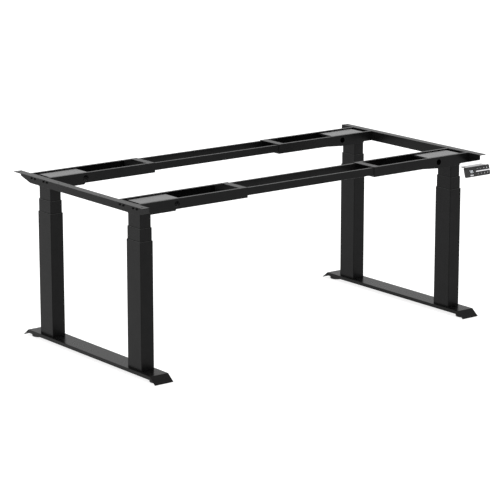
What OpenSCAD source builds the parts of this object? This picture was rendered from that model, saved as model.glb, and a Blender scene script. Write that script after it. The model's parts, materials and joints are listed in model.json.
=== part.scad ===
// Frame of a four-leg, three-stage electric sit-stand desk, without its desktop.
// Millimetres. +X runs along the desk to the user's right, +Y away from the user, +Z up.
// The origin is on the floor, midway between the four columns.

/* [Overall] */
// Width over the side bracket flanges
frame_w = 1810; // [1500:10:1900]
// Height of the seat for the desktop, as drawn
frame_h = 716; // [700:1:760]
// Distance from the outer flange edge to the column axis
column_inset = 85; // [82:1:92]
// Half the distance between the front and rear column axes
column_y = 322; // [260:1:360]

/* [Columns] */
// Outer tube width, along the desk
outer_w = 62; // [61:1:68]
// Outer tube depth
outer_d = 96; // [95:1:102]
// Middle tube width
middle_w = 57; // [56:0.5:57.5]
// Middle tube depth
middle_d = 90.5; // [89.5:0.5:91]
// Inner tube width
inner_w = 52; // [50:0.5:52.5]
// Inner tube depth
inner_d = 85; // [83:0.5:85.5]
// Wall of each column tube
tube_wall = 1.5; // [1.2:0.1:1.6]
// Outside corner radius of each column tube
tube_corner = 3; // [2.5:0.5:5]
// Height of the outer tube's top edge
outer_top = 556; // [540:1:560]
// Length of the middle tube that shows, as drawn
middle_shows = 53; // [52:1:60]
// Length of the middle tube
middle_len = 516; // [480:1:519]
// Height of the inner tube's lower end, as drawn
inner_bottom = 165; // [160:1:200]
// Running clearance between a guide collar and its tube, each side
collar_play = 0.05; // [0.03:0.01:0.1]
// Length of a guide collar inside its tube
collar_len = 60; // [40:5:80]
// Height of the collar lip that shows on top of a tube
collar_lip = 1.5; // [1:0.5:2]

/* [Lift drive] */
// Spindle diameter
spindle_d = 14; // [12:1:16]
// Height of the spindle's lower end, as drawn
spindle_bottom = 142; // [142:1:150]
// Height of the nut's upper face, as drawn
nut_top = 430; // [425:1:440]
// Radius of the tube that carries the nut
nut_tube_r = 13; // [12:0.5:16]
// Motor radius
motor_r = 15.5; // [12:0.5:15.5]
// Length of the motor beyond the column axis
motor_reach = 100; // [90:1:101]

/* [Feet] */
// Foot length from tip to tip
foot_len = 960; // [900:10:1000]
// Foot width
foot_w = 90; // [80:1:96]
// Height of the foot's top face
foot_h = 31.5; // [29.5:0.5:34]
// Depth of the foot's side walls
foot_side_h = 15; // [12:1:18]
// Length of each sloping toe, seen from above
toe_len = 35; // [25:1:45]
// Height of the toe's lower edge above the floor
toe_lift = 5; // [4:1:8]
// Sheet thickness of the foot
foot_sheet = 3; // [2.5:0.5:4]
// Levelling pad radius
pad_r = 30; // [25:1:32]
// Levelling pad height
pad_h = 8; // [6:1:10]
// Distance of each levelling pad from the middle of the foot
pad_y = 430; // [420:1:435]

/* [Side brackets] */
// Side bracket length
bracket_len = 928; // [900:4:980]
// Width of the bracket's top flange
flange_w = 35; // [30:1:38]
// Depth of the bracket's web
web_h = 42.5; // [38:0.5:44]
// Depth of the web at its two tips
web_tip_h = 23; // [18:1:28]
// Sheet thickness of the bracket
bracket_sheet = 3; // [2.5:0.5:4]

/* [Cross beams] */
// Beam width
beam_w = 137; // [132:1:140]
// Distance from the middle of the desk to a beam end's open mouth
beam_mouth = 335; // [320:5:360]
// Depth of the beam end
channel_h = 42.5; // [41.5:0.5:43.5]
// Depth of the left beam ends around their motors
head_left_h = 48.5; // [46:0.5:50]
// Depth of the right beam ends around their motors
head_right_h = 49; // [46:0.5:50]
// Length of the step from the channel to the left motor housing
ramp_left = 4; // [2:1:90]
// Length of the ramp from the channel to the right motor housing
ramp_right = 86; // [2:1:90]
// Distance from the middle of the desk to the motor housing
head_x = 694; // [690:1:704]
// Sheet thickness of the beam ends
beam_sheet = 2; // [1.5:0.5:2.5]
// Width of the lips along the top of the beam ends
lip_w = 13; // [10:1:15]
// Width of the bridge across the mouth of the beam ends
bridge_w = 34; // [25:1:45]
// Radius of the cable holes, one in each beam end's wall towards the user
cable_hole_r = 12.5; // [10:0.5:13]
// Distance from the middle of the desk to the cable holes
cable_hole_x = 693; // [685:1:694]
// Half the length of the sliding rails
rail_half = 410; // [390:5:412]
// Depth of the sliding rails
rail_h = 32; // [26:0.5:34]
// Width of each sliding rail
rail_w = 14; // [12:1:16]

/* [Handset] */
// Handset width
handset_w = 140; // [120:1:150]
// Distance from the middle of the desk to the handset's middle
handset_x = 704; // [600:1:704]
// Depth position of the front edge of the handset's mounting plate
handset_front = 631; // [625:1:640]
// Height of the handset below the desktop
handset_h = 44; // [42:1:50]
// Slope of the keypad from upright
face_tilt = 16; // [12:1:20]
// Travel of the buttons
button_travel = 0.8; // [0.5:0.1:1]

/* [Fasteners] */
// Radius of the column bolts under the feet
foot_bolt_r = 3.95; // [3:0.05:3.95]
// Radius of the side bracket bolts
bracket_bolt_r = 2.95; // [2.5:0.05:2.95]
// Radius of the holes for the desktop screws
desk_hole_r = 3.5; // [2.5:0.5:4]

/* [Hidden] */
$fn = 48;
eps = 0.01;
flange_x = frame_w / 2;
column_x = flange_x - column_inset;
web_x = flange_x - flange_w;
pattern_y1 = 33;
pattern_y2 = 58;
bolt_drop = 20;
web_z_inside = frame_h - web_h + 1;
bracket_bolt_y = [-pattern_y2, -pattern_y1, pattern_y1, pattern_y2];
middle_top = outer_top + middle_shows;
middle_bottom = middle_top - middle_len;
base_plate_h = 8;
foot_bolt_dx = 16;
foot_bolt_dy = 28;
cap_plate_h = 6;
nut_h = 25;
nut_plate_h = 6;
spindle_play = 0.05;
spindle_r = spindle_d / 2;
gearbox_bore_h = 16;
gearbox_w = 54;
gearbox_step = 12;
gearbox_d = 84;
cover_h = 2;
cover_drop = 6;
cover_under = frame_h - cover_drop;
cover_in = 662;
cover_out = 844;
cover_play = 0.5;
head_end = 820;
head_fillet = 12;
skirt_drop = 6;
skirt_wall = 1.5;
cable_hole_shift = 6.5;
rail_play = 0.2;
rail_wall = 2;
taper_from = 73;
stud_r = 4;
stud_play = 0.05;
stud_top = 26.5;
weld_nut_bottom = 12;
weld_nut_r = 7;
desk_hole_y = [150, 440];
desk_hole_inset = 16;
bolt_hole_play = 0.4;
cable_hole_drop = 22;

button_w = 13;
button_d = 9;
button_h = 4;
button_proud = 0.6;
button_play = 0.25;
button_columns = [0, 18, 36, 54];
row_upper = 12.5;
row_lower = -9.5;
screen_w = 34;
screen_d = 17;
screen_h = 1.2;
screen_at = [-36, 3];
port_w = 17;
port_h = 5.5;
port_deep = 1.5;
port_at = [-35, -12.7];
jack_w = 12;
jack_h = 9;
jack_deep = 13;
jack_drop = 16;
groove_w = 4.4;
groove_deep = 1;
groove_at = (row_upper + row_lower) / 2;
handset_rear = -handset_front + 32;
handset_plate_h = 4;
handset_plate_w = 115;
handset_plate_x = handset_x - (handset_w - handset_plate_w) / 2;
handset_slab_h = 8;
handset_neck_half = 30;
handset_neck_inset = 3;
keypad_corner = 7;
keypad_down = 19.7;
keypad_up = (handset_h - handset_plate_h / 2) / cos(face_tilt) - keypad_down;
keypad_y = -handset_front + 2.2;
keypad_z = frame_h - handset_h + keypad_down * cos(face_tilt);
handset_screw_r = 2.2;
handset_screw_dx = 45;
handset_screw_y = 609;

steel = [0.13, 0.13, 0.135];
plastic = [0.06, 0.06, 0.065];
zinc = [0.45, 0.45, 0.46];
brass = [0.6, 0.5, 0.25];

// Sides are -1 for left and 1 for right. Ends are -1 for front and 1 for rear.

function head_h(side) = side < 0 ? head_left_h : head_right_h;
function ramp(side) = side < 0 ? ramp_left : ramp_right;
function head_floor(side) = frame_h - head_h(side);

// Everything on one side is drawn on the right and mirrored for the left.
module on_side(side) {
  if (side < 0) mirror([1, 0, 0]) children();
  else children();
}

module at_column(side, end) {
  translate([side * column_x, end * column_y, 0]) children();
}

// ---- Plain shapes ----

module round_rect(w, d, r) {
  square([w - 2 * r, d], center = true);
  square([w, d - 2 * r], center = true);
  for (x = [-1, 1], y = [-1, 1])
    translate([x * (w / 2 - r), y * (d / 2 - r)]) circle(r);
}

module ring_profile(w, d, r, wall) {
  difference() {
    round_rect(w, d, r);
    round_rect(w - 2 * wall, d - 2 * wall, r - wall);
  }
}

module tube_from(z0, z1, w, d, r) {
  translate([0, 0, z0]) linear_extrude(z1 - z0) ring_profile(w, d, r, tube_wall);
}

// Stands a profile drawn in X and Z on its edge, centred on Y.
module across_y(depth) {
  translate([0, depth / 2, 0]) rotate([90, 0, 0]) linear_extrude(depth) children();
}

// Stands a profile drawn in Y and Z on its edge, from x0 outwards.
module across_x(x0, depth) {
  translate([x0, 0, 0]) rotate([90, 0, 90]) linear_extrude(depth) children();
}

// A slender cylinder along X.
module rod_x(x0, x1, r) {
  translate([x0, 0, 0]) rotate([0, 90, 0]) cylinder(h = x1 - x0, r = r);
}

// ---- Feet ----

module foot_bolt_places() {
  for (end = [-1, 1], x = [-1, 1], y = [-1, 1])
    translate([x * foot_bolt_dx, end * column_y + y * foot_bolt_dy, 0]) children();
}

module foot_outline(drop) {
  tip = foot_len / 2;
  top = tip - toe_len;
  polygon([
    [-tip, toe_lift - drop], [-top, foot_h - drop], [top, foot_h - drop], [tip, toe_lift - drop],
    [tip, foot_h + 1], [-tip, foot_h + 1]
  ]);
}

module foot_skin() {
  across_x(-foot_w / 2, foot_w) difference() {
    foot_outline(foot_sheet);
    foot_outline(0);
  }
}

module foot_cheek(x0) {
  side_bottom = foot_h - foot_side_h;
  slope = toe_len / (foot_h - toe_lift);
  top = foot_len / 2 - toe_len;
  low = top + slope * foot_side_h;
  across_x(x0, foot_sheet) polygon([[-low, side_bottom], [-top, foot_h], [top, foot_h], [low, side_bottom]]);
}

module foot() {
  color(steel) difference() {
    union() {
      foot_skin();
      foot_cheek(-foot_w / 2);
      foot_cheek(foot_w / 2 - foot_sheet);
      for (end = [-1, 1])
        translate([0, end * pad_y, weld_nut_bottom])
          cylinder(h = foot_h - foot_sheet - weld_nut_bottom + eps, r = weld_nut_r);
    }
    foot_bolt_places() translate([0, 0, foot_h - 2 * foot_sheet])
      cylinder(h = 3 * foot_sheet, r = foot_bolt_r + bolt_hole_play);
    for (end = [-1, 1])
      translate([0, end * pad_y, weld_nut_bottom - 1])
        cylinder(h = foot_h - foot_sheet - weld_nut_bottom + 1, r = stud_r + stud_play);
  }
}

module foot_bolts() {
  head_h = 5;
  color(zinc) foot_bolt_places() {
    translate([0, 0, foot_h - foot_sheet - head_h]) difference() {
      cylinder(h = head_h, r = 6.5);
      translate([0, 0, -1]) cylinder(h = 4, r = 2.9, $fn = 6);
    }
    translate([0, 0, foot_h - foot_sheet - eps]) cylinder(h = foot_sheet + base_plate_h - 1, r = foot_bolt_r);
  }
}

// The pad's underside is on the floor and its stud runs up into the foot's weld nut.
module levelling_foot() {
  rim = 1.5;
  color(plastic) union() {
    cylinder(h = rim, r1 = pad_r - rim, r2 = pad_r);
    translate([0, 0, rim]) cylinder(h = pad_h - 2 * rim, r = pad_r);
    translate([0, 0, pad_h - rim]) cylinder(h = rim, r1 = pad_r, r2 = pad_r - rim);
    translate([0, 0, pad_h - eps]) cylinder(h = stud_top - pad_h, r = stud_r);
  }
}

// ---- Column tubes ----

module outer_tube() {
  color(steel) difference() {
    union() {
      tube_from(foot_h, outer_top, outer_w, outer_d, tube_corner);
      translate([0, 0, foot_h]) linear_extrude(base_plate_h)
        round_rect(outer_w - tube_wall, outer_d - tube_wall, tube_corner - tube_wall);
    }
    for (x = [-1, 1], y = [-1, 1])
      translate([x * foot_bolt_dx, y * foot_bolt_dy, foot_h - 1])
        cylinder(h = base_plate_h + 2, r = foot_bolt_r + 0.05);
  }
}

// A plastic guide: a sleeve inside the top of a tube, with a lip on the tube's edge.
module collar(top, w, d, r, slide_w, slide_d, slide_r) {
  seat = 0.02;
  lip_back = 0.3;
  color(plastic) difference() {
    union() {
      translate([0, 0, top - collar_len]) linear_extrude(collar_len + eps)
        round_rect(w - 2 * tube_wall - seat, d - 2 * tube_wall - seat, r - tube_wall);
      translate([0, 0, top]) linear_extrude(collar_lip)
        round_rect(w - 2 * lip_back, d - 2 * lip_back, r - lip_back);
    }
    translate([0, 0, top - collar_len - 1]) linear_extrude(collar_len + collar_lip + 2)
      round_rect(slide_w + 2 * collar_play, slide_d + 2 * collar_play, slide_r + collar_play);
  }
}

module outer_collar() {
  collar(outer_top, outer_w, outer_d, tube_corner, middle_w, middle_d, tube_corner);
}

module middle_tube() {
  color(steel) tube_from(middle_bottom, middle_top, middle_w, middle_d, tube_corner);
}

module middle_collar() {
  collar(middle_top, middle_w, middle_d, tube_corner, inner_w, inner_d, tube_corner);
}

module inner_tube(side) {
  top = head_floor(side);
  color(steel) difference() {
    union() {
      tube_from(inner_bottom, top, inner_w, inner_d, tube_corner);
      translate([0, 0, top - cap_plate_h]) linear_extrude(cap_plate_h)
        round_rect(inner_w - tube_wall, inner_d - tube_wall, tube_corner - tube_wall);
    }
    translate([0, 0, top - cap_plate_h - 1]) cylinder(h = cap_plate_h + 2, r = spindle_r + 2);
  }
}

// ---- Lift drive ----

module nut_tube() {
  bore = spindle_r + 1.5;
  plate_w = middle_w - 2 * tube_wall - 0.02;
  plate_d = middle_d - 2 * tube_wall - 0.02;
  color(brass) difference() {
    union() {
      translate([0, 0, middle_bottom]) linear_extrude(nut_plate_h)
        round_rect(plate_w, plate_d, tube_corner - tube_wall);
      translate([0, 0, middle_bottom]) cylinder(h = nut_top - middle_bottom, r = nut_tube_r);
    }
    translate([0, 0, middle_bottom - 1]) cylinder(h = nut_top - nut_h - middle_bottom + 1, r = bore);
    translate([0, 0, nut_top - nut_h - 1]) cylinder(h = nut_h + 2, r = spindle_r + spindle_play);
  }
}

module spindle(side) {
  color(zinc) translate([0, 0, spindle_bottom])
    cylinder(h = head_floor(side) + beam_sheet + gearbox_bore_h - 1 - spindle_bottom, r = spindle_r);
}

// Gearbox on the column axis, with its motor lying along the beam towards the middle of the desk.
module motor_unit(side) {
  floor_z = head_floor(side) + beam_sheet;
  upper_z = frame_h - web_h + beam_sheet + 0.5;
  axis_z = cover_under - motor_r - 1;
  boss = 4;
  color(plastic) difference() {
    union() {
      translate([-gearbox_w / 2, -gearbox_d / 2, upper_z])
        cube([gearbox_w, gearbox_d, cover_under - upper_z]);
      translate([-gearbox_w / 2, -gearbox_d / 2, floor_z])
        cube([gearbox_w / 2 - gearbox_step, gearbox_d, upper_z - floor_z + eps]);
      translate([0, 0, axis_z]) rod_x(-motor_reach, -gearbox_w / 2 + eps, motor_r);
      translate([0, 0, axis_z]) rod_x(-motor_reach - boss, -motor_reach + eps, motor_r - 6);
    }
    translate([0, 0, floor_z - 1]) cylinder(h = gearbox_bore_h + 1, r = spindle_r + spindle_play);
  }
}

// A folded sheet that closes the motor housing from above, between the beam's lips.
module motor_cover() {
  d = beam_w - 2 * beam_sheet - 2 * cover_play;
  color(steel) union() {
    translate([cover_in, -d / 2, cover_under]) cube([cover_out - cover_in, d, cover_h]);
    translate([cover_in, -d / 2, cover_under - cover_drop]) cube([cover_h, d, cover_drop + eps]);
  }
}

// ---- Top frame ----

module bracket_side_profile() {
  half = bracket_len / 2;
  web_bottom = frame_h - web_h;
  polygon([
    [half, frame_h], [half, frame_h - web_tip_h + 4], [half - 3, frame_h - web_tip_h],
    [half - taper_from, web_bottom], [-half + taper_from, web_bottom],
    [-half + 3, frame_h - web_tip_h], [-half, frame_h - web_tip_h + 4], [-half, frame_h]
  ]);
}

module side_bracket() {
  color(steel) difference() {
    union() {
      across_x(web_x, bracket_sheet) bracket_side_profile();
      translate([web_x, -bracket_len / 2, frame_h - bracket_sheet])
        cube([flange_w, bracket_len, bracket_sheet]);
    }
    for (end = [-1, 1], y = bracket_bolt_y)
      translate([0, end * column_y + y, frame_h - bolt_drop])
        rod_x(web_x - 1, web_x + bracket_sheet + 1, bracket_bolt_r + bolt_hole_play);
    for (end = [-1, 1], y = desk_hole_y)
      translate([flange_x - desk_hole_inset, end * y, frame_h - bracket_sheet - 1])
        cylinder(h = bracket_sheet + 2, r = desk_hole_r);
  }
}

module bracket_bolts() {
  head_h = 3;
  head_r = 4.5;
  reach_in = 10;
  socket_r = 2.3;
  socket_h = 2;
  color(zinc) for (end = [-1, 1], y = bracket_bolt_y)
    translate([0, end * column_y + y, frame_h - bolt_drop]) {
      rod_x(web_x - reach_in, web_x + bracket_sheet + eps, bracket_bolt_r);
      translate([web_x + bracket_sheet, 0, 0]) difference() {
        rod_x(0, head_h, head_r);
        translate([head_h - socket_h, 0, 0]) rotate([0, 90, 0]) cylinder(h = head_h, r = socket_r, $fn = 6);
      }
    }
}

// Outline of a beam end in X and Z, raised by lift.
module beam_outline(side, lift) {
  channel_z = frame_h - channel_h + lift;
  head_z = head_floor(side) + lift;
  web_z = frame_h - web_h + lift;
  top = frame_h + lift;
  rise = web_z - head_z;
  polygon(concat(
    [[web_x, top], [web_x, web_z]],
    [for (a = [0:15:90]) [head_end + head_fillet * (1 - sin(a)), web_z - rise * (1 - cos(a))]],
    [[head_x, head_z], [head_x - ramp(side), channel_z], [beam_mouth, channel_z], [beam_mouth, top]]
  ));
}

// A short skirt under the beam end that the top of the inner tube is seated in.
module column_skirt(side) {
  bottom = head_floor(side) - skirt_drop;
  translate([column_x, 0, bottom]) {
    linear_extrude(skirt_drop + 1) skirt_profile();
    linear_extrude(web_z_inside - bottom) intersection() {
      skirt_profile();
      translate([0, -inner_d]) square([inner_w, 2 * inner_d]);
    }
  }
}

module skirt_profile() {
  difference() {
    round_rect(inner_w + 2 * skirt_wall, inner_d + 2 * skirt_wall, tube_corner + skirt_wall);
    round_rect(inner_w + 0.02, inner_d + 0.02, tube_corner);
  }
}

module beam_end(side) {
  inner_half = beam_w / 2 - beam_sheet;
  end_wall = 3;
  bolt_z = frame_h - bolt_drop;
  lip_from = inner_half + beam_sheet - lip_w;
  between = 2 * inner_half + 2;
  sheet_z = frame_h - beam_sheet;
  web_z = frame_h - web_h + beam_sheet - 1;
  color(steel) difference() {
    union() {
      for (y = [-1, 1])
        translate([0, y * (beam_w - beam_sheet) / 2, 0]) across_y(beam_sheet) beam_outline(side, 0);
      across_y(beam_w - beam_sheet) difference() {
        beam_outline(side, 0);
        beam_outline(side, beam_sheet);
      }
      for (y = [-1, 1])
        translate([beam_mouth, y > 0 ? lip_from : -lip_from - lip_w, sheet_z])
          cube([web_x - beam_mouth, lip_w, beam_sheet]);
      translate([beam_mouth, -between / 2, sheet_z]) cube([bridge_w, between, beam_sheet]);
      translate([web_x - end_wall, -between / 2, web_z]) cube([end_wall, between, frame_h - web_z]);
      column_skirt(side);
    }
    translate([cable_hole_x + side * cable_hole_shift, 0, frame_h - cable_hole_drop]) rotate([90, 0, 0])
      cylinder(h = beam_w / 2 + 1, r = cable_hole_r);
    translate([column_x, 0, head_floor(side) - 1])
      cylinder(h = web_z + 3 * beam_sheet - head_floor(side), r = spindle_r + 2);
    for (y = bracket_bolt_y)
      translate([0, y, bolt_z]) rod_x(web_x - end_wall - 1, web_x + 1, bracket_bolt_r + 0.05);
  }
}

// Two rectangular tubes that slide in both ends of one beam, under the lips.
module rails() {
  outer_y = beam_w / 2 - beam_sheet - rail_play;
  top = frame_h - beam_sheet - rail_play;
  color(steel) for (y = [-1, 1])
    translate([0, y * (outer_y - rail_w / 2), top - rail_h / 2]) rotate([0, 90, 0])
      linear_extrude(2 * rail_half, center = true) difference() {
        round_rect(rail_h, rail_w, 2.5);
        round_rect(rail_h - 2 * rail_wall, rail_w - 2 * rail_wall, 0.8);
      }
}

// ---- Handset ----

// Puts children on the keypad, with X along it, Y up its slope and Z out of it.
module on_keypad() {
  translate([handset_x, keypad_y, keypad_z]) rotate([90 - face_tilt, 0, 0]) children();
}

// Point at s up the keypad's slope and r behind it, in Y and Z.
function behind_keypad(s, r) = [
  keypad_y + s * sin(face_tilt) + r * cos(face_tilt),
  keypad_z + s * cos(face_tilt) - r * sin(face_tilt)
];

// Outline in Y and Z of the neck that joins the keypad's back to the mounting plate.
module handset_neck_profile() {
  top = frame_h - handset_plate_h / 2;
  rear = handset_rear - handset_neck_inset;
  polygon([
    behind_keypad(keypad_up / 4, handset_slab_h / 2), behind_keypad(keypad_up - 4, handset_slab_h / 2),
    [-handset_front + 12, top], [rear, top], [rear, frame_h - jack_drop - handset_neck_inset]
  ]);
}

// The keypad's slab hangs below a flat mounting plate, joined to it by a neck.
module handset_shell() {
  translate([handset_plate_x, (handset_rear - handset_front) / 2, frame_h - handset_plate_h])
    linear_extrude(handset_plate_h) round_rect(handset_plate_w, handset_rear + handset_front, 3);
  on_keypad() translate([0, (keypad_up - keypad_down) / 2, -handset_slab_h])
    linear_extrude(handset_slab_h) round_rect(handset_w, keypad_up + keypad_down, keypad_corner);
  translate([handset_plate_x, 0, 0])
    across_x(-handset_neck_half, 2 * handset_neck_half) handset_neck_profile();
}

module button_block(w, d, h) {
  linear_extrude(h) round_rect(w, d, 2);
}

module handset_housing() {
  pocket = button_h - button_proud + button_travel + 0.4;
  color(plastic) difference() {
    handset_shell();
    for (i = [0:3], row = [row_upper, row_lower])
      on_keypad() translate([button_columns[i], row, -pocket])
        button_block(button_w + 2 * button_play, button_d + 2 * button_play, pocket + 5);
    on_keypad() translate([screen_at[0], screen_at[1], -screen_h])
      button_block(screen_w, screen_d, screen_h + 5);
    on_keypad() translate([port_at[0], port_at[1], -port_deep]) linear_extrude(port_deep + 5)
      square([port_w, port_h], center = true);
    on_keypad() translate([button_columns[0] - button_d, groove_at - groove_w / 2, -groove_deep])
      cube([handset_w, groove_w, 5]);
    for (side = [-1, 1])
      translate([handset_plate_x + side * handset_screw_dx, -handset_screw_y, frame_h - handset_h])
        cylinder(h = handset_h + 1, r = handset_screw_r);
    translate([handset_plate_x - jack_w / 2, handset_rear - jack_deep, frame_h - jack_drop])
      cube([jack_w, jack_deep + 5, jack_h]);
  }
}

module handset_display() {
  color(plastic) on_keypad() translate([screen_at[0], screen_at[1], -screen_h])
    button_block(screen_w - 0.2, screen_d - 0.2, screen_h);
}

module button(i, row) {
  color(plastic) on_keypad() translate([button_columns[i], row, button_proud - button_h])
    button_block(button_w, button_d, button_h);
}

// ---- Nodes ----

translate([-column_x, 0, 0]) foot();  // left_foot
translate([column_x, 0, 0]) foot();  // right_foot
translate([-column_x, 0, 0]) foot_bolts();  // left_foot_bolts
translate([column_x, 0, 0]) foot_bolts();  // right_foot_bolts
for (end = [-1, 1]) at_column(-1, end) outer_collar();  // left_outer_collars
for (end = [-1, 1]) at_column(1, end) outer_collar();  // right_outer_collars
on_side(-1) side_bracket();  // left_side_bracket
on_side(1) side_bracket();  // right_side_bracket
on_side(-1) bracket_bolts();  // left_bracket_bolts
on_side(1) bracket_bolts();  // right_bracket_bolts

for (side = [-1, 1]) {
  side_name = side < 0 ? "left" : "right";
  for (end = [-1, 1]) on_side(side) translate([0, end * column_y, 0]) motor_cover();
  for (end = [-1, 1]) {
    corner = str(end < 0 ? "front_" : "rear_", side_name);
    at_column(side, end) outer_tube();
    at_column(side, end) middle_tube();
    at_column(side, end) middle_collar();
    at_column(side, end) nut_tube();
    at_column(side, end) inner_tube(side);
    at_column(side, end) spindle(side);
    at_column(side, end) on_side(side) motor_unit(side);
    translate([0, end * column_y, 0]) on_side(side) beam_end(side);
    translate([side * column_x, end * pad_y, 0]) levelling_foot();
  }
}

translate([0, -column_y, 0]) rails();  // front_beam_rails
translate([0, column_y, 0]) rails();  // rear_beam_rails
handset_housing();
handset_display();
button(0, row_upper);  // button_raise
button(1, row_upper);  // button_lower
button(2, row_upper);  // button_memory
button(3, row_upper);  // button_lock
for (i = [0:3])
  button(i, row_lower);
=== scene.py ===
"""Looks of a four-leg electric sit-stand desk frame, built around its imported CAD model.

Metres, +X to the user's right, +Y away from the user, +Z up, floor at 0.
"""
import json
import math

import bmesh
import bpy
from mathutils import Matrix, Vector


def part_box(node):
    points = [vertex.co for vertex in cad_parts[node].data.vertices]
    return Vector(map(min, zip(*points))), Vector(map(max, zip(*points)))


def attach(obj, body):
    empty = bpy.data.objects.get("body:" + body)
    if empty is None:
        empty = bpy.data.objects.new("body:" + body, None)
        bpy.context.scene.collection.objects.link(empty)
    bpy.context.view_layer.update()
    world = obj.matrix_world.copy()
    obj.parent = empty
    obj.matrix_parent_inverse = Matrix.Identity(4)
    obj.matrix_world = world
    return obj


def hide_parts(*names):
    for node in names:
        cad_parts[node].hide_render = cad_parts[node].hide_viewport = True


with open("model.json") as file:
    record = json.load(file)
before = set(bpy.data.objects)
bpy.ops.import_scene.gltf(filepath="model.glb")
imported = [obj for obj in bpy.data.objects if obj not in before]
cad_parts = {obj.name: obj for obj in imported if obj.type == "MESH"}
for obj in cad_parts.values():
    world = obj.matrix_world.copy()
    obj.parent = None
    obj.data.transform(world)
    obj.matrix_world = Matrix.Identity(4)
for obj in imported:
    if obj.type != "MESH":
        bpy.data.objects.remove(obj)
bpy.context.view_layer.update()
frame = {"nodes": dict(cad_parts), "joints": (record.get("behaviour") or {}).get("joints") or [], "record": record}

MM = 0.001
SIDES = ("left", "right")
ENDS = ("front", "rear")
CORNERS = [(end, side) for side in SIDES for end in ENDS]
BODIES = frame["record"]["behaviour"]["bodies"]
BODY_OF = {node: body for body, nodes in BODIES.items() for node in nodes}
SLOT_OF = {part["node"]: part["material_slot"] for part in frame["record"]["subparts"]}

# ---- Camera, floor and light ----

CAMERA_AT = Vector((-5.906, -7.624, 2.633))
CAMERA_LOOK = Vector((0.59429, 0.77011, -0.23183))
CAMERA_LENS = 166.9
CAMERA_SENSOR = 36
CAMERA_REACH = 200

WHITE = (1, 1, 1, 1)
FLOOR_RADIUS = 60
FLOOR_DROP = 0.5 * MM
FLOOR_SHADE = 0.5
FLOOR_GLOW = 0.82

# Each light: name, place, what it points at, disk diameter and watts.
LIGHTS = (
    ("overhead", (0.3, 0.6, 5.5), (0, 0, 0), 5, 60),
    ("left_fill", (-8, 6, 2.2), (0, 0, 0.4), 5, 140),
)


def make_camera():
    data = bpy.data.cameras.new("camera")
    data.lens = CAMERA_LENS
    data.sensor_width = CAMERA_SENSOR
    data.clip_end = CAMERA_REACH
    camera = bpy.data.objects.new("camera", data)
    camera.location = CAMERA_AT
    camera.rotation_euler = CAMERA_LOOK.to_track_quat("-Z", "Y").to_euler()
    bpy.context.scene.collection.objects.link(camera)
    bpy.context.scene.camera = camera


def area_light(name, at, target, size, power):
    data = bpy.data.lights.new(name, "AREA")
    data.shape = "DISK"
    data.size = size
    data.energy = power
    light = bpy.data.objects.new(name, data)
    light.location = at
    light.rotation_euler = (Vector(target) - Vector(at)).to_track_quat("-Z", "Y").to_euler()
    bpy.context.scene.collection.objects.link(light)


def make_floor():
    """A plain pale disk that glows enough to read as white."""
    bm = bmesh.new()
    bmesh.ops.create_circle(bm, cap_ends=True, segments=96, radius=FLOOR_RADIUS)
    floor = new_object("stage_floor", bm)
    material, shader, _ = new_material("floor_white")
    shader.inputs["Base Color"].default_value = (FLOOR_SHADE, FLOOR_SHADE, FLOOR_SHADE, 1)
    shader.inputs["Roughness"].default_value = 0.9
    shader.inputs["Specular IOR Level"].default_value = 0.0
    shader.inputs["Emission Color"].default_value = WHITE
    shader.inputs["Emission Strength"].default_value = FLOOR_GLOW
    floor.data.materials.append(material)
    floor.location.z = -FLOOR_DROP


def make_studio():
    """White surroundings and two soft lights."""
    world = bpy.data.worlds.new("studio")
    bpy.context.scene.world = world
    world.use_nodes = True
    background = world.node_tree.nodes["Background"]
    background.inputs["Color"].default_value = WHITE
    background.inputs["Strength"].default_value = 1.0
    for light in LIGHTS:
        area_light(*light)
    bpy.context.scene.view_settings.view_transform = "Standard"


# ---- Node material helpers ----


def new_material(name):
    material = bpy.data.materials.new(name)
    material.use_nodes = True
    tree = material.node_tree
    return material, tree.nodes["Principled BSDF"], tree


def add(tree, kind, **values):
    """A node of that kind, with sockets set by name."""
    node = tree.nodes.new(kind)
    for key, value in values.items():
        if hasattr(node, key):
            setattr(node, key, value)
        else:
            node.inputs[key.replace("_", " ")].default_value = value
    return node


def place(tree):
    return add(tree, "ShaderNodeTexCoord").outputs["Object"]


def noise(tree, size, detail=2.0, rough=0.5):
    """Noise whose features are about that size, in metres."""
    node = add(tree, "ShaderNodeTexNoise", Scale=1 / size, Detail=detail, Roughness=rough)
    tree.links.new(place(tree), node.inputs["Vector"])
    return node.outputs["Fac"]


def ramp(tree, value, stops):
    """Maps a value through (position, colour or grey) stops."""
    node = tree.nodes.new("ShaderNodeValToRGB")
    while len(node.color_ramp.elements) < len(stops):
        node.color_ramp.elements.new(0.5)
    for element, (position, shade) in zip(node.color_ramp.elements, stops):
        element.position = position
        element.color = shade if hasattr(shade, "__len__") else (shade, shade, shade, 1)
    tree.links.new(value, node.inputs["Fac"])
    return node.outputs["Color"]


def spread(tree, value, low, high):
    """Maps the middle of a noise's range to values from low to high."""
    return ramp(tree, value, [(0.3, low), (0.7, high)])


def multiply(tree, a, b):
    node = add(tree, "ShaderNodeMath", operation="MULTIPLY")
    for socket, value in zip(node.inputs, (a, b)):
        tree.links.new(value, socket)
    return node.outputs[0]


def mix_colour(tree, factor, base, over):
    """From the linked colour base to the fixed colour over, by factor."""
    node = add(tree, "ShaderNodeMix", data_type="RGBA")
    factor_socket, base_socket, over_socket = (node.inputs[i] for i in (0, 6, 7))
    tree.links.new(factor, factor_socket)
    tree.links.new(base, base_socket)
    over_socket.default_value = over
    return node.outputs[2]


def bump(tree, shader, height, strength, distance, under=None):
    """Relief on the shader's normal, on top of another relief where one is given."""
    node = add(tree, "ShaderNodeBump", Strength=strength, Distance=distance)
    tree.links.new(height, node.inputs["Height"])
    if under:
        tree.links.new(under, node.inputs["Normal"])
    tree.links.new(node.outputs["Normal"], shader.inputs["Normal"])
    return node.outputs["Normal"]


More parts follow.
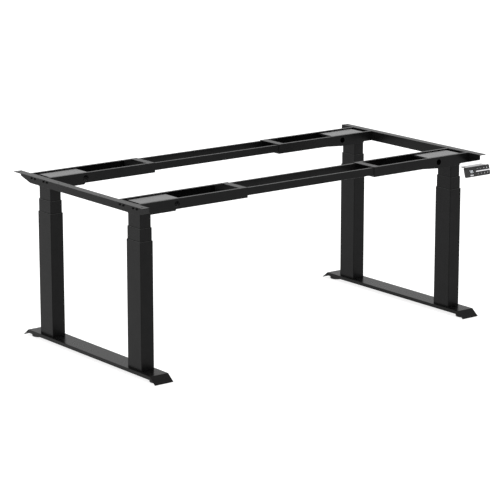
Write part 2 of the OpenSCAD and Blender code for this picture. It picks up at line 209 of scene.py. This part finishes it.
# How far into the noise's range a worn patch takes to reach its full strength.
PATCH_BLEND = 0.08


def edge_wear(tree, share, size=0.006):
    """Broken patches along the rounded edges: the edge attribute times a noise threshold."""
    edge = add(tree, "ShaderNodeAttribute", attribute_name="edge").outputs["Fac"]
    blotches = noise(tree, size=size, detail=5, rough=0.65)
    bare = 1 - share
    patches = ramp(tree, blotches, [(bare, 0.0), (bare + PATCH_BLEND, 1.0)])
    return multiply(tree, edge, patches)


def grey(value):
    """A grey that is very slightly blue."""
    return (value, value, value * 1.02, 1)


# ---- Materials, one for each slot ----

# Noise scales across and along a drawn bar, and how many waves a wave texture of scale 1 has.
STREAK_STRETCH = (900, 900, 12)
WAVES_PER_UNIT = 3.1831


def coated_steel(name, shade, grain, rough, wear_share, specular=0.09, peel_relief=0.2):
    """Powder coat: fine orange peel, a faint mottle and rubbed edges."""
    material, shader, tree = new_material(name)
    mottle = noise(tree, size=0.045, detail=4, rough=0.6)
    coat = spread(tree, mottle, grey(shade * 0.8), grey(shade * 1.2))
    worn = edge_wear(tree, wear_share)
    colour = mix_colour(tree, worn, coat, grey(shade * 3.5))
    tree.links.new(colour, shader.inputs["Base Color"])
    speckle = noise(tree, size=0.0016, detail=3, rough=0.6)
    sheen = spread(tree, speckle, rough - 0.05, rough + 0.06)
    tree.links.new(sheen, shader.inputs["Roughness"])
    shader.inputs["Specular IOR Level"].default_value = specular
    fine = noise(tree, size=grain, detail=3, rough=0.55)
    coarse = noise(tree, size=grain * 6, detail=2, rough=0.5)
    peel = bump(tree, shader, fine, strength=peel_relief, distance=0.0001)
    bump(tree, shader, coarse, strength=0.1, distance=0.0002, under=peel)
    return material


def moulded(name, shade, grain, rough, specular=0.35, relief=0.3):
    """Moulded plastic with a spark-eroded skin."""
    material, shader, tree = new_material(name)
    skin = noise(tree, size=grain, detail=3, rough=0.6)
    clouds = noise(tree, size=0.02, detail=3, rough=0.5)
    tone = spread(tree, clouds, grey(shade * 0.85), grey(shade * 1.15))
    polished = mix_colour(tree, edge_wear(tree, share=0.55, size=0.003), tone, grey(shade * 1.8))
    tree.links.new(polished, shader.inputs["Base Color"])
    tree.links.new(spread(tree, skin, rough - 0.06, rough + 0.06), shader.inputs["Roughness"])
    shader.inputs["Specular IOR Level"].default_value = specular
    bump(tree, shader, skin, strength=relief, distance=0.0001)
    return material


def drawn_steel(name, shade, rough, pitch=0.0):
    """Bare steel, drawn along Z, with a thread relief where pitch is given."""
    material, shader, tree = new_material(name)
    shader.inputs["Metallic"].default_value = 1.0
    stretch = add(tree, "ShaderNodeMapping")
    stretch.inputs["Scale"].default_value = STREAK_STRETCH
    tree.links.new(place(tree), stretch.inputs["Vector"])
    streak_noise = add(tree, "ShaderNodeTexNoise", Scale=1.0, Detail=3.0)
    tree.links.new(stretch.outputs["Vector"], streak_noise.inputs["Vector"])
    streaks = streak_noise.outputs["Fac"]
    tone = spread(tree, streaks, grey(shade * 0.8), grey(shade * 1.1))
    tree.links.new(tone, shader.inputs["Base Color"])
    tree.links.new(spread(tree, streaks, rough - 0.05, rough + 0.1), shader.inputs["Roughness"])
    lines = bump(tree, shader, streaks, strength=0.2, distance=0.00005)
    if pitch:
        wave = add(tree, "ShaderNodeTexWave", bands_direction="Z", wave_profile="SIN")
        wave.inputs["Scale"].default_value = 1 / pitch / WAVES_PER_UNIT
        tree.links.new(place(tree), wave.inputs["Vector"])
        bump(tree, shader, wave.outputs["Fac"], strength=0.9, distance=0.0012, under=lines)
    return material


def black_oxide(name):
    """Oiled black bolts, a little lighter on their edges."""
    material, shader, tree = new_material(name)
    clouds = noise(tree, size=0.004, detail=4, rough=0.6)
    tone = ramp(tree, clouds, [(0.35, grey(0.0015)), (0.7, grey(0.004))])
    worn = edge_wear(tree, share=0.5, size=0.002)
    tree.links.new(mix_colour(tree, worn, tone, grey(0.012)), shader.inputs["Base Color"])
    sheen = spread(tree, noise(tree, size=0.001, detail=2, rough=0.5), 0.36, 0.5)
    tree.links.new(sheen, shader.inputs["Roughness"])
    shader.inputs["Specular IOR Level"].default_value = 0.04
    bump(tree, shader, noise(tree, size=0.0006, detail=2, rough=0.5), strength=0.15, distance=0.00006)
    return material


def screen_glass(name):
    """Gloss smoked window with a faint finger-smear in its roughness."""
    material, shader, tree = new_material(name)
    shader.inputs["Base Color"].default_value = (0.006, 0.006, 0.007, 1)
    smear = ramp(tree, noise(tree, size=0.008, detail=5, rough=0.7), [(0.35, 0.08), (0.75, 0.2)])
    tree.links.new(smear, shader.inputs["Roughness"])
    bump(tree, shader, noise(tree, size=0.01, detail=1, rough=0.5), strength=0.03, distance=0.0001)
    return material


def lit_digits(name):
    """Light-emitting segments, a little uneven along their length."""
    material, shader, tree = new_material(name)
    shader.inputs["Base Color"].default_value = (0.6, 0.65, 0.7, 1)
    shader.inputs["Roughness"].default_value = 0.4
    dim, lit = (0.82, 0.87, 0.92, 1), (0.95, 0.97, 1, 1)
    glow = spread(tree, noise(tree, size=0.0015, detail=2, rough=0.5), dim, lit)
    tree.links.new(glow, shader.inputs["Emission Color"])
    shader.inputs["Emission Strength"].default_value = 0.7
    return material


def bright_trim(name):
    """Satin metal with fine brushing across it."""
    material, shader, tree = new_material(name)
    shader.inputs["Metallic"].default_value = 1.0
    brushing = noise(tree, size=0.0004, detail=4, rough=0.7)
    tree.links.new(spread(tree, brushing, grey(0.9), grey(0.97)), shader.inputs["Base Color"])
    tree.links.new(spread(tree, brushing, 0.18, 0.3), shader.inputs["Roughness"])
    bump(tree, shader, brushing, strength=0.12, distance=0.00005)
    return material


def printed_mark(name, shade):
    """Screen-printed ink, a little uneven in its cover."""
    material, shader, tree = new_material(name)
    cover = noise(tree, size=0.0005, detail=3, rough=0.6)
    tone = spread(tree, cover, grey(shade * 0.85), grey(shade))
    tree.links.new(tone, shader.inputs["Base Color"])
    shader.inputs["Roughness"].default_value = 0.55
    bump(tree, shader, noise(tree, size=0.0003, detail=2, rough=0.5), strength=0.1, distance=0.00003)
    return material


def make_materials():
    return {
        "powder_coat": coated_steel("powder_coat_black", shade=0.0045, grain=0.0007, rough=0.28,
                                    wear_share=0.42),
        "collar_plastic": moulded("collar_nylon", shade=0.010, grain=0.0008, rough=0.5),
        "black_bolt": black_oxide("bolt_black_oxide"),
        "nut_steel": drawn_steel("nut_tube_steel", shade=0.45, rough=0.38),
        "spindle_steel": drawn_steel("spindle_greased_steel", shade=0.5, rough=0.28, pitch=0.004),
        # The motors are black; their grey is lowered to near nothing as painted shade, so the cable holes they
        # show through read dark.
        "motor_case": coated_steel("motor_satin_painted_shade", shade=0.002, grain=0.0004, rough=0.5,
                                   wear_share=0.3, specular=0.04),
        "pad_plastic": moulded("pad_moulding", shade=0.014, grain=0.001, rough=0.62),
        "handset_plastic": moulded("handset_shell", shade=0.018, grain=0.0006, rough=0.46),
        "screen": screen_glass("handset_window"),
        "button_rubber": moulded("button_soft_touch", shade=0.022, grain=0.0004, rough=0.6,
                                 specular=0.3, relief=0.2),
    }


def make_finishes():
    """Finishes of the small pieces that are only looks, and of the smoother motor covers, whose lighter grey is
    painted sheen.
    """
    return {
        # The covers' gloss is real; their grey, lighter than the frame's powder coat, is painted sheen for their
        # bright tops.
        "cover": coated_steel("cover_gloss_coat_painted_sheen", shade=0.016, grain=0.0007, rough=0.2,
                              wear_share=0.42, specular=0.38, peel_relief=0.05),
        "digits": lit_digits("display_digits"),
        "mark": printed_mark("keypad_print", shade=0.62),
        "trim": bright_trim("handset_trim"),
        # The mounting plate's upper face: real gloss, and a light grey that is painted highlight on the upward
        # face.
        "plate_top": moulded("plate_top_gloss_painted_highlight", shade=0.22, grain=0.0006, rough=0.12,
                             specular=0.8, relief=0.05),
        "tongue": moulded("port_tongue", shade=0.75, grain=0.0004, rough=0.4),
    }


# ---- Mesh helpers ----

# Points closer than this become one, and flatter angles than this one face.
WELD = 0.002 * MM
FLAT = math.radians(0.3)
BEND_SEGMENTS = 4


def new_object(name, bm):
    mesh = bpy.data.meshes.new(name)
    bm.to_mesh(mesh)
    bm.free()
    thing = bpy.data.objects.new(name, mesh)
    bpy.context.scene.collection.objects.link(thing)
    return thing


def smooth(thing, angle=40):
    """Smooth shading that stays sharp at edges over the angle, in degrees."""
    thing.data.shade_smooth()
    thing.data.set_sharp_from_angle(angle=math.radians(angle))
    modifier = thing.modifiers.new("even_shading", "WEIGHTED_NORMAL")
    modifier.keep_sharp = True


def sharp_edges(bm, angle=28):
    """Edges between two faces that turn by more than the angle, in degrees."""
    limit = math.radians(angle)
    return [e for e in bm.edges if len(e.link_faces) == 2 and e.calc_face_angle(0) > limit]


def round_edges(bm, edges, width, segments, edge_layer):
    """Rounds these edges and marks the new faces as worn edge."""
    made = bmesh.ops.bevel(bm, geom=edges, offset=width, offset_type="OFFSET", segments=segments,
                           profile=0.5, affect="EDGES", clamp_overlap=False)
    for face in made["faces"]:
        face[edge_layer] = 1.0


def refine(node, width, segments=2, bends=None, bend_radius=0.0):
    """A CAD node's finished copy: rounded bends, softened edges, even shading and its material."""
    bm = bmesh.new()
    bm.from_mesh(frame["nodes"][node].data)
    bmesh.ops.remove_doubles(bm, verts=bm.verts, dist=WELD)
    bmesh.ops.dissolve_limit(bm, angle_limit=FLAT, verts=bm.verts, edges=bm.edges)
    edge_layer = bm.faces.layers.float.new("edge")
    if bends:
        folds = [edge for edge in sharp_edges(bm) if bends(edge)]
        round_edges(bm, folds, bend_radius, BEND_SEGMENTS, edge_layer)
    round_edges(bm, sharp_edges(bm), width, segments, edge_layer)
    piece = new_object(node + "_finished", bm)
    smooth(piece)
    dress(piece, SLOT_OF[node], BODY_OF[node])
    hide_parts(node)
    return piece


def dress(piece, slot, body, material=None):
    """Gives a piece its finish, or else its slot's material, and the body it rides on."""
    piece.data.materials.clear()
    piece.data.materials.append(material or MATERIALS[slot])
    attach(piece, body)


def keep(node):
    """A CAD node that stays as it is, with its material."""
    thing = frame["nodes"][node]
    thing.data.materials.clear()
    thing.data.materials.append(MATERIALS[SLOT_OF[node]])


# ---- Pieces ----

# How wide the edges of each kind of piece are softened.
SHEET_EDGE = 0.4 * MM
TUBE_EDGE = 0.35 * MM
COLLAR_EDGE = 0.25 * MM
BOLT_EDGE = 0.3 * MM
PAD_EDGE = 0.4 * MM
CASTING_EDGE = 0.8 * MM
KEY_EDGE = 0.5 * MM
SHELL_EDGE = 0.5 * MM
WINDOW_EDGE = 0.15 * MM

FOOT_BEND = 1.3 * MM
SAME_PLACE = 0.01 * MM
TOP_BAND = 0.1 * MM


def foot_fold_test(node):
    """Tells which edges are a foot's folds: along its top, between the top and its two sides."""
    low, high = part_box(node)

    def is_fold(edge):
        a, b = (vert.co for vert in edge.verts)
        normals = [face.normal for face in edge.link_faces]
        middle_x = (a.x + b.x) / 2
        at_side = min(abs(middle_x - low.x), abs(middle_x - high.x)) < SAME_PLACE
        only_top_and_side = all(n.z > 0.5 or abs(n.x) > 0.9 for n in normals)
        meets_top = any(n.z > 0.5 for n in normals)
        return at_side and only_top_and_side and meets_top and abs(a.x - b.x) < SAME_PLACE

    return is_fold


def make_feet():
    for side in SIDES:
        node = f"{side}_foot"
        refine(node, SHEET_EDGE, bends=foot_fold_test(node), bend_radius=FOOT_BEND)
        refine(f"{side}_foot_bolts", BOLT_EDGE)


def make_columns():
    for end, side in CORNERS:
        for kind in ("outer_tube", "middle_tube", "inner_tube"):
            refine(f"{kind}_{end}_{side}", TUBE_EDGE)
        refine(f"middle_collar_{end}_{side}", COLLAR_EDGE)
        refine(f"levelling_foot_{end}_{side}", PAD_EDGE)
        keep(f"nut_tube_{end}_{side}")
        keep(f"spindle_{end}_{side}")
        refine(f"motor_{end}_{side}", CASTING_EDGE)
    for side in SIDES:
        refine(f"{side}_outer_collars", COLLAR_EDGE)


def make_top_frame():
    for side in SIDES:
        refine(f"{side}_side_bracket", SHEET_EDGE)
        cover = refine(f"{side}_motor_covers", SHEET_EDGE)
        # The covers get the glossier coat, whose lighter grey is painted sheen.
        cover.data.materials[0] = FINISHES["cover"]
        refine(f"{side}_bracket_bolts", BOLT_EDGE)
    for end, side in CORNERS:
        refine(f"beam_end_{end}_{side}", SHEET_EDGE)
    for end in ENDS:
        refine(f"{end}_beam_rails", SHEET_EDGE)


# ---- Handset details, drawn on the keypad: X along the desk, Y up the slope, Z out of it ----

PRESS = next(j for j in frame["joints"] if j["name"] == "button_raise_press")
OUTWARD = -Vector(PRESS["axis"]).normalized()
ALONG = Vector((1, 0, 0))
UPWARD = OUTWARD.cross(ALONG)

# Printed and lit marks: how deep they reach into the face and how far they stand out of it.
MARK_BOTTOM = -0.05 * MM
ICON_TOP = 0.1 * MM
DIGIT_TOP = 0.12 * MM
RING_RADIUS = 2.5 * MM
RING_WIDTH = 0.9 * MM

# A digit's seven bars: a on top, then clockwise b to f, and g across the middle.
HEIGHT_SHOWN = "735"
SEGMENTS = {"7": "abc", "3": "abgcd", "5": "afgcd"}
DIGIT_W = 5.4 * MM
DIGIT_H = 10.8 * MM
DIGIT_PITCH = 7.4 * MM
DIGIT_BAR = 1.25 * MM
DIGIT_GAP = 0.12 * MM
POINT_HALF = 0.6 * MM

NUMERAL_SIZE = 7.5 * MM
NUMERAL_HALF_DEPTH = 0.07 * MM
NUMERAL_WEIGHT = 0.12 * MM
NUMERAL_LIFT = 0.03 * MM

# The dividing strip: where it starts from the raise key's centre, and its half height.
STRIP_START = -8.9 * MM
STRIP_END_GAP = 0.4 * MM
STRIP_HALF = 2.1 * MM
STRIP_SINK = 0.6 * MM
STRIP_BOTTOM = -0.95 * MM
STRIP_TOP = 0.12 * MM

# The charging port: its place from the window's centre, and the shell's and tongue's sizes.
PORT_RIGHT = 1 * MM
PORT_DOWN = 15.7 * MM
PORT_HALF_W = 8.4 * MM
PORT_HALF_H = 2.65 * MM
PORT_WALL = 1.1 * MM
PORT_BOTTOM = -1.4 * MM
PORT_TOP = 0.1 * MM
TONGUE_HALF_W = 6.6 * MM
TONGUE_HALF_H = 0.9 * MM
TONGUE_TOP = -0.5 * MM


def face_of(node):
    """Places things on a handset piece's outer face."""
    low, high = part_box(node)
    middle = (Vector(low) + Vector(high)) / 2
    height = max(OUTWARD.dot(v.co) for v in frame["nodes"][node].data.vertices)
    origin = middle + OUTWARD * (height - OUTWARD.dot(middle))
    turn = Matrix((ALONG, UPWARD, OUTWARD)).transposed().to_4x4()
    return Matrix.Translation(origin) @ turn


def add_block(bm, outline, bottom, top):
    """A prism over an outline of (x, y) points."""
    base = [bm.verts.new((x, y, bottom)) for x, y in outline]
    lid = [bm.verts.new((x, y, top)) for x, y in outline]
    bm.faces.new(list(reversed(base)))
    bm.faces.new(lid)
    for i in range(len(outline)):
        j = (i + 1) % len(outline)
        bm.faces.new((base[i], base[j], lid[j], lid[i]))


def rectangle(left, bottom, right, top):
    return [(left, bottom), (right, bottom), (right, top), (left, top)]


def add_ring(bm, radius, width, bottom, top, sweep=360.0, steps=40, centre=(0, 0)):
    """A flat band that follows an arc, in degrees from +X."""
    whole = sweep >= 360
    angles = [math.radians(sweep * i / steps) for i in range(steps if whole else steps + 1)]
    rows = []
    for angle in angles:
        for r in (radius - width / 2, radius + width / 2):
            x = centre[0] + r * math.cos(angle)
            y = centre[1] + r * math.sin(angle)
            rows.append((bm.verts.new((x, y, bottom)), bm.verts.new((x, y, top))))
    count = len(angles)
    for i in range(count if whole else count - 1):
        j = (i + 1) % count
        inner, outer = rows[2 * i:2 * i + 2]
        inner_next, outer_next = rows[2 * j:2 * j + 2]
        bm.faces.new((inner[1], outer[1], outer_next[1], inner_next[1]))
        bm.faces.new((inner[0], inner_next[0], outer_next[0], outer[0]))
        bm.faces.new((outer[0], outer_next[0], outer_next[1], outer[1]))
        bm.faces.new((inner[0], inner[1], inner_next[1], inner_next[0]))
    if not whole:
        for inner, outer in ((rows[0], rows[1]), (rows[-2], rows[-1])):
            bm.faces.new((inner[0], outer[0], outer[1], inner[1]))


def on_face(name, bm, place_on, slot, body, finish):
    """Finishes a small piece drawn flat and lays it on the keypad."""
    bm.transform(place_on)
    bmesh.ops.recalc_face_normals(bm, faces=bm.faces)
    piece = new_object(name, bm)
    smooth(piece, 30)
    dress(piece, slot, body, finish)


def bar_outline(which):
    """Outline of one of a digit's seven bars, pointed at both ends."""
    w, h, t = DIGIT_W, DIGIT_H, DIGIT_BAR
    upright = which in "bcef"
    half = ((h - t) / 2 if upright else w - t) / 2 - DIGIT_GAP
    bar = [(-half, 0), (t / 2 - half, -t / 2), (half - t / 2, -t / 2),
           (half, 0), (half - t / 2, t / 2), (t / 2 - half, t / 2)]
    if upright:
        x = (w - t) / 2 * (1 if which in "bc" else -1)
        y = (h - t) / 4 * (1 if which in "bf" else -1)
        return [(x - across, y + along) for along, across in bar]
    y = {"a": h - t, "g": 0, "d": t - h}[which] / 2
    return [(along, y + across) for along, across in bar]


def make_digits():
    """The lit height in the window: three digits and a point before the last."""
    bm = bmesh.new()
    for i, digit in enumerate(HEIGHT_SHOWN):
        shift = (i - 1) * DIGIT_PITCH
        for which in SEGMENTS[digit]:
            outline = [(x + shift, y) for x, y in bar_outline(which)]
            add_block(bm, outline, MARK_BOTTOM, DIGIT_TOP)
    x, y = DIGIT_PITCH / 2, -DIGIT_H / 2
    point = rectangle(x - POINT_HALF, y, x + POINT_HALF, y + 2 * POINT_HALF)
    add_block(bm, point, MARK_BOTTOM, DIGIT_TOP)
    window = "handset_display"
    on_face("display_digits", bm, face_of(window), "screen", BODY_OF[window], FINISHES["digits"])


def add_arrow(bm, way):
    """A chevron that points up for way 1 and down for way -1."""
    tip, half, stroke = 2.1 * MM, 3.0 * MM, 1.3 * MM
    outline = [(-half, -way * tip / 2), (0, way * tip), (half, -way * tip / 2),
               (half, -way * tip / 2 - way * stroke), (0, way * (tip - stroke)),
               (-half, -way * tip / 2 - way * stroke)]
    add_block(bm, outline[::way], MARK_BOTTOM, ICON_TOP)


def add_padlock(bm):
    """A padlock's body with half a ring above it."""
    body_half, body_h = 2.2 * MM, 3.2 * MM
    shackle_radius, shackle_width, shackle_y = 1.4 * MM, 0.7 * MM, 0.6 * MM
    add_block(bm, rectangle(-body_half, -body_h, body_half, 0), MARK_BOTTOM, ICON_TOP)
    add_ring(bm, shackle_radius, shackle_width, MARK_BOTTOM, ICON_TOP, sweep=180, steps=20,
             centre=(0, shackle_y))


def print_mark(button, bm):
    """Lays a printed mark on a key."""
    on_face(button + "_mark", bm, face_of(button), "button_rubber", BODY_OF[button], FINISHES["mark"])


def make_icon(button):
    """An arrow, a ring or a padlock on one of the upper keys."""
    bm = bmesh.new()
    if button == "button_raise":
        add_arrow(bm, 1)
    elif button == "button_lower":
        add_arrow(bm, -1)
    elif button == "button_memory":
        add_ring(bm, RING_RADIUS, RING_WIDTH, MARK_BOTTOM, ICON_TOP)
    else:
        add_padlock(bm)
    print_mark(button, bm)


def make_numeral(button, numeral):
    """A printed numeral, centred on its key."""
    data = bpy.data.curves.new(button + "_numeral", "FONT")
    data.body = numeral
    data.size = NUMERAL_SIZE
    data.extrude = NUMERAL_HALF_DEPTH
    data.offset = NUMERAL_WEIGHT
    holder = bpy.data.objects.new(button + "_numeral", data)
    bpy.context.scene.collection.objects.link(holder)
    bpy.context.view_layer.update()
    bm = bmesh.new()
    bm.from_mesh(holder.to_mesh())
    bpy.data.objects.remove(holder)
    middle = [(min(v.co[i] for v in bm.verts) + max(v.co[i] for v in bm.verts)) / 2 for i in (0, 1)]
    bm.transform(Matrix.Translation((-middle[0], -middle[1], NUMERAL_LIFT)))
    bmesh.ops.remove_doubles(bm, verts=bm.verts, dist=WELD)
    print_mark(button, bm)


def on_housing(name, bm, place_on, finish):
    """Lays a small piece on the handset's housing."""
    housing = "handset_housing"
    on_face(name, bm, place_on, SLOT_OF[housing], BODY_OF[housing], FINISHES[finish])


def make_strip():
    """The bright inlay between the two rows of keys, in the housing's groove."""
    place_on, lower_row = face_of("button_raise"), face_of("button_preset_1")
    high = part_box("handset_housing")[1]
    end = high.x - place_on.translation.x - STRIP_END_GAP
    middle = (place_on.translation + lower_row.translation) / 2
    place_on.translation = middle - OUTWARD * STRIP_SINK
    bm = bmesh.new()
    outline = rectangle(STRIP_START, -STRIP_HALF, end, STRIP_HALF)
    add_block(bm, outline, STRIP_BOTTOM, STRIP_TOP)
    on_housing("divider_strip", bm, place_on, "trim")


def make_port():
    """The charging port's metal shell and its tongue, in the housing's recess."""
    place_on = face_of("handset_display")
    place_on.translation += ALONG * PORT_RIGHT - UPWARD * PORT_DOWN
    w, h, wall = PORT_HALF_W, PORT_HALF_H, PORT_WALL
    walls = (
        rectangle(-w, -h, w, wall - h),
        rectangle(-w, h - wall, w, h),
        rectangle(-w, wall - h, wall - w, h - wall),
        rectangle(w - wall, wall - h, w, h - wall),
    )
    bm = bmesh.new()
    for outline in walls:
        add_block(bm, outline, PORT_BOTTOM, PORT_TOP)
    on_housing("port_shell", bm, place_on, "trim")
    bm = bmesh.new()
    tongue = rectangle(-TONGUE_HALF_W, -TONGUE_HALF_H, TONGUE_HALF_W, TONGUE_HALF_H)
    add_block(bm, tongue, PORT_BOTTOM, TONGUE_TOP)
    on_housing("port_tongue", bm, place_on, "tongue")


def make_housing():
    """The shell, with a gloss finish and a painted highlight, a lighter grey, on its mounting plate's upper face.
    """
    housing = refine("handset_housing", SHELL_EDGE)
    housing.data.materials.append(FINISHES["plate_top"])
    top = max(v.co.z for v in housing.data.vertices)
    # Only the upward faces at the top get the light grey painted highlight.
    for face in housing.data.polygons:
        if face.normal.z > 0.9 and face.center.z > top - TOP_BAND:
            face.material_index = 1


def make_handset():
    make_housing()
    refine("handset_display", WINDOW_EDGE)
    for button in ("button_raise", "button_lower", "button_memory", "button_lock"):
        refine(button, KEY_EDGE, segments=3)
        make_icon(button)
    for numeral in "1234":
        button = f"button_preset_{numeral}"
        refine(button, KEY_EDGE, segments=3)
        make_numeral(button, numeral)
    make_digits()
    make_strip()
    make_port()


MATERIALS = make_materials()
FINISHES = make_finishes()
make_camera()
make_floor()
make_studio()
make_feet()
make_columns()
make_top_frame()
make_handset()
